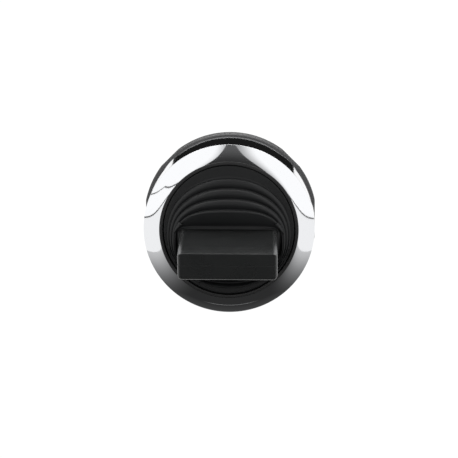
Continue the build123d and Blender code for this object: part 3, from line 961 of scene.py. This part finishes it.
@dataclass
class Paddle:
    """Moulded paddle in two halves that meet at the mould seam."""

    sizes: PaddleSizes

    def _half(self, name: str, low: float, high: float, seam_low: bool) -> bpy.types.Object:
        """Build one half as a block with its own rounding on each edge.

        Args:
            name: object name.
            low: lower face, as a rise above the lever's centre line.
            high: upper face.
            seam_low: the seam is the lower face.

        Returns:
            The half, with a bevel that rounds each edge by its weight.
        """
        s = self.sizes
        bits = np.array([[i >> 2 & 1, i >> 1 & 1, i & 1] for i in range(8)])
        across = np.where(bits[:, 0], s.half_width, -s.half_width)
        reach = np.where(bits[:, 1], s.tip, s.root)
        rise = np.where(bits[:, 2], high, low)
        tilt = math.radians(s.lever_tilt)
        ahead = -s.pivot_depth - reach * math.cos(tilt) - rise * math.sin(tilt)
        places = np.stack([across, ahead, rise * math.cos(tilt) - reach * math.sin(tilt)], axis=-1)
        faces = [(0, 1, 3, 2), (4, 6, 7, 5), (0, 4, 5, 1), (2, 3, 7, 6), (0, 2, 6, 4), (1, 5, 7, 3)]
        mesh = bpy.data.meshes.new(name)
        mesh.from_pydata((places * MM).tolist(), [], faces)
        mesh.polygons.foreach_set("use_smooth", np.ones(len(faces), dtype=bool))
        mesh.update()
        half = bpy.data.objects.new(name, mesh)
        bpy.context.scene.collection.objects.link(half)
        face_outwards(half)
        ends = np.empty(len(mesh.edges) * 2, np.int32)
        mesh.edges.foreach_get("vertices", ends)
        a, b = bits[ends.reshape(-1, 2)[:, 0]], bits[ends.reshape(-1, 2)[:, 1]]
        seam_bit = 0 if seam_low else 1
        runs_long = (a[:, 0] == b[:, 0]) & (a[:, 2] == b[:, 2])
        at_tip = (a[:, 1] == 1) & (b[:, 1] == 1)
        at_root = (a[:, 1] == 0) & (b[:, 1] == 0)
        at_seam = (a[:, 2] == seam_bit) & (b[:, 2] == seam_bit)
        upright = a[:, 2] != b[:, 2]
        tip_radius = np.where(upright, s.tip_side_round, s.tip_upper_round if seam_low else s.tip_lower_round)
        radius = np.where(runs_long, s.long_round, np.where(at_tip, tip_radius, 0.0))
        radius = np.where(at_seam, s.seam_round, radius)
        radius = np.where(at_root, 0.0, radius)
        weights = mesh.attributes.new("bevel_weight_edge", "FLOAT", "EDGE")
        weights.data.foreach_set("value", (radius / s.long_round).astype(np.float32))
        rounding = half.modifiers.new("edge_rounding", "BEVEL")
        rounding.limit_method = "WEIGHT"
        rounding.width = s.long_round * MM
        rounding.segments = 8
        rounding.harden_normals = True
        rounding.use_clamp_overlap = False
        return half

    def build(self, finish: bpy.types.Material) -> list[bpy.types.Object]:
        """Build both halves of the paddle.

        Args:
            finish: semi-gloss plastic material.

        Returns:
            The upper and the lower half.
        """
        s = self.sizes
        upper = self._half("paddle_upper_half", s.seam_rise, s.half_thickness, True)
        lower = self._half("paddle_lower_half", -s.half_thickness, s.seam_rise, False)
        for half in (upper, lower):
            dress(half, finish)
            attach(half, "lever")
            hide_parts("paddle")
        log.info("paddle: %.1f mm wide, %.1f mm thick", 2 * s.half_width, 2 * s.half_thickness)
        return [upper, lower]


@dataclass
class RearParts:
    """CAD nodes that stay as they are and only get a finish: housing, pushers, springs and screws."""

    finishes: dict[str, bpy.types.Material]

    def dress_all(self) -> int:
        """Give every CAD node that still shows the finish of its slot.

        Returns:
            The number of nodes dressed.
        """
        dressed = 0
        for row in frame["record"]["subparts"]:
            node = frame["nodes"][row["node"]]
            finish = self.finishes.get(row["material_slot"])
            if finish is None:
                continue
            for place in node.material_slots:
                place.material = finish
            if not node.hide_render:
                dressed += 1
                log.info("dressed %s with %s", row["node"], finish.name)
        return dressed


# ---- Studio ----
@dataclass
class StudioSizes:
    """Studio sizes: metres, degrees and light levels."""

    camera_azimuth: float = 1.5
    camera_elevation: float = 12.0
    camera_distance: float = 0.388
    camera_lens: float = 180.0
    target: tuple[float, float, float] = (0.0, -0.0103, 0.0)
    table_drop: float = 0.06
    box_radius: float = 0.36
    box_low: float = -4.0
    box_high: float = 62.0
    left_box: tuple[float, float] = (-115.0, -7.0)
    right_box: tuple[float, float] = (7.0, 115.0)
    box_level: float = 1.18
    top_level: float = 4.2
    top_height: float = 0.30
    top_half_width: float = 0.30
    top_back: float = 0.16
    top_fade: tuple[float, float] = (-0.13, 0.06)
    curtain: tuple[float, float] = (-9.0, 9.0)
    back_y: float = 0.35
    back_span: tuple[float, float] = (0.165, 0.34)
    back_level: float = 3.0
    left_fade: tuple[float, float, float] = (-0.02, -0.07, 0.55)
    right_fade: tuple[float, float, float] = (0.02, 0.11, 0.35)
    curtain_level: float = 0.118
    curtain_fade: tuple[float, float, float] = (0.0, 0.42, 0.27)
    curtain_grow: float = 1.3
    rail_angle: float = 0.45
    # Name of each rail, then azimuth and elevation of its two ends.
    rails: tuple[tuple[str, tuple[float, float], tuple[float, float]], ...] = (
        ("left_rail", (-9.0, box_low), (-112.0, box_low)),
        ("right_rail", (9.0, box_low), (112.0, box_low)),
        ("left_arm_low", (-9.0, -3.0), (-36.0, 10.5)),
        ("left_arm_high", (-36.0, 10.5), (-74.0, 12.0)),
    )


@dataclass
class Studio:
    """Pale table, two soft boxes, an overhead light and the camera."""

    sizes: StudioSizes

    def table(self) -> bpy.types.Object:
        """Build the pale table, a flat sheet well below the part.

        Returns:
            The table.
        """
        drop = self.sizes.table_drop
        x, y = np.meshgrid([-2.0, 2.0], [-0.9, 3.5])
        points = np.stack([x, y, np.full(x.shape, -drop)], axis=-1)
        sheet = grid_object("table_sheet", points, False, False)
        return dress(sheet, LitTableFinish().build())

    def soft_box(
        self, name: str, span: tuple[float, float], finish: LitCardFinish, grow: float = 1.0
    ) -> bpy.types.Object:
        """Build one curved soft box: a patch of a sphere round the part.

        Args:
            name: object name.
            span: azimuths of its two sides, in degrees from straight ahead.
            finish: glow of its cloth.
            grow: its distance, as a multiple of the usual one.

        Returns:
            The soft box.
        """
        s = self.sizes
        azimuth = np.radians(np.linspace(span[0], span[1], 25))[:, None]
        height = np.radians(np.linspace(s.box_low, s.box_high, 17))[None]
        box = grid_object(name, on_sphere(azimuth, height) * s.box_radius * grow, False, False)
        return dress(box, finish.build())

    def strut(self, name: str, start: tuple[float, float], end: tuple[float, float]) -> bpy.types.Object:
        """Build one dark rail of a soft box: a thin strip just inside its sphere.

        Args:
            name: object name.
            start: azimuth and elevation of one end, in degrees.
            end: azimuth and elevation of the other end.

        Returns:
            The rail.
        """
        s = self.sizes
        share = np.linspace(0, 1, 33)[:, None]
        azimuth = np.radians(start[0] + (end[0] - start[0]) * share) + np.zeros((1, 2))
        sides = np.array([[-s.rail_angle, s.rail_angle]])
        height = np.radians(start[1] + (end[1] - start[1]) * share + sides)
        rail = grid_object(name, on_sphere(azimuth, height) * s.box_radius * 0.99, False, False)
        return dress(rail, LitCardFinish("black_rail_of_" + name, 0.02).build())

    def overhead(self) -> bpy.types.Object:
        """Build the overhead card, which fades out towards the front.

        Returns:
            The card.
        """
        s = self.sizes
        x, y = np.meshgrid([-s.top_half_width, s.top_half_width], [s.top_fade[0], s.top_back])
        points = np.stack([x, y, np.full(x.shape, s.top_height)], axis=-1)
        card = grid_object("overhead_card", points, False, False)
        return dress(card, LitCardFinish("overhead_diffuser", s.top_level, 1, *s.top_fade, 0.0).build())

    def back_card(self) -> bpy.types.Object:
        """Build the upright card behind the part, which lights its top edges at a grazing angle.

        Returns:
            The card.
        """
        s = self.sizes
        x, z = np.meshgrid([-s.top_half_width, s.top_half_width], s.back_span)
        card = grid_object("back_card", np.stack([x, np.full(x.shape, s.back_y), z], axis=-1), False, False)
        return dress(card, LitCardFinish("back_diffuser", s.back_level).build())

    def camera(self) -> bpy.types.Object:
        """Place the camera on its viewing line.

        Returns:
            The camera.
        """
        s = self.sizes
        azimuth, elevation = math.radians(s.camera_azimuth), math.radians(s.camera_elevation)
        back = Vector(on_sphere(np.array(azimuth), np.array(elevation)))
        data = bpy.data.cameras.new("camera")
        data.lens = s.camera_lens
        data.clip_start, data.clip_end = 0.01, 20.0
        camera = bpy.data.objects.new("camera", data)
        camera.location = Vector(s.target) + back * s.camera_distance
        camera.rotation_euler = back.to_track_quat("Z", "Y").to_euler()
        bpy.context.scene.collection.objects.link(camera)
        bpy.context.scene.camera = camera
        return camera

    def world(self) -> None:
        """Set a dim, even room round the part."""
        world = bpy.data.worlds.new("dim_room")
        world.use_nodes = True
        tree = world.node_tree
        tree.nodes.clear()
        values = {"Color": linear_colour("#1a1a1a"), "Strength": 1.0}
        room = add_node(tree, "ShaderNodeBackground", inputs=values)
        add_node(tree, "ShaderNodeOutputWorld", inputs={"Surface": room.outputs["Background"]})
        bpy.context.scene.world = world

    def build(self) -> None:
        """Build the whole studio and set the plain display transform."""
        s = self.sizes
        self.world()
        self.table()
        left = LitCardFinish("left_soft_box", s.box_level, 0, *s.left_fade)
        right = LitCardFinish("right_soft_box", s.box_level, 0, *s.right_fade)
        self.soft_box("soft_box_left", s.left_box, left)
        self.soft_box("soft_box_right", s.right_box, right)
        for name, start, end in s.rails:
            self.strut(name, start, end)
        cloth = LitCardFinish("grey_front_curtain", s.curtain_level, 2, *s.curtain_fade)
        self.soft_box("front_curtain", s.curtain, cloth, s.curtain_grow)
        self.overhead()
        self.back_card()
        self.camera()
        view = bpy.context.scene.view_settings
        view.view_transform = "Standard"
        view.look = "None"
        view.exposure = 0.0
        view.gamma = 1.0
        log.info("studio: camera at %.1f degrees above the axis", s.camera_elevation)


def make_finishes() -> dict[str, bpy.types.Material]:
    """Build one material for each of the record's material slots.

    Returns:
        Material slot name to material.
    """
    finishes = {
        "chrome_plating": ChromeFinish(),
        "black_plastic": MouldedFinish("black_nylon_ring_as_moulded", "#141415", Sheen.SATIN),
        "black_rubber": MouldedFinish(
            "black_silicone_rubber_moulded", "#131415", Sheen.SATIN, grain_mm=0.09, dust=0.008, specular=0.32
        ),
        "housing_plastic": MouldedFinish("glass_filled_black_polyamide", "#1b1b1c", Sheen.MATT, grain_mm=0.2),
        "gasket_rubber": MouldedFinish("black_nitrile_rubber", "#2a2a2b", Sheen.SATIN, dust=0.02),
        "paddle_plastic": MouldedFinish(
            "black_polyamide_semi_gloss",
            "#262727",
            Sheen.SEMI_GLOSS,
            grain_mm=0.6,
            grain_depth_mm=0.0001,
            specular=0.75,
        ),
        "nylon": MouldedFinish("natural_acetal_waxy", "#d8d5cb", Sheen.SATIN, grain_mm=0.25),
        "bronze": WorkedMetalFinish("sintered_bronze_oiled", "#a97f4a", 0.42),
        "zinc_plated_steel": WorkedMetalFinish("bright_zinc_plated_steel", "#b9bcc2", 0.3),
        "spring_steel": WorkedMetalFinish("drawn_spring_steel", "#8d9095", 0.28, stretch=(1.0, 1.0, 0.2)),
        "cast_zinc": WorkedMetalFinish(
            "die_cast_zinc_as_cast", "#9a9c9f", 0.5, mark_mm=0.3, stretch=(1, 1, 1)
        ),
        "ground_steel": WorkedMetalFinish("ground_steel_shaft", "#c2c4c8", 0.16),
    }
    return {slot: finish.build() for slot, finish in finishes.items()}


def main() -> None:
    finishes = make_finishes()
    rings = BezelAssembly(BezelSizes())
    rings.bezel(finishes["chrome_plating"])
    rings.trim_ring(finishes["black_plastic"])
    rings.gasket(finishes["gasket_rubber"])
    Boot(BootSizes()).build(finishes["black_rubber"])
    Paddle(PaddleSizes()).build(finishes["paddle_plastic"])
    count = RearParts(finishes).dress_all()
    log.info("%d CAD nodes keep their own meshes", count)
    Studio(StudioSizes()).build()


if __name__ == "__main__":
    main()
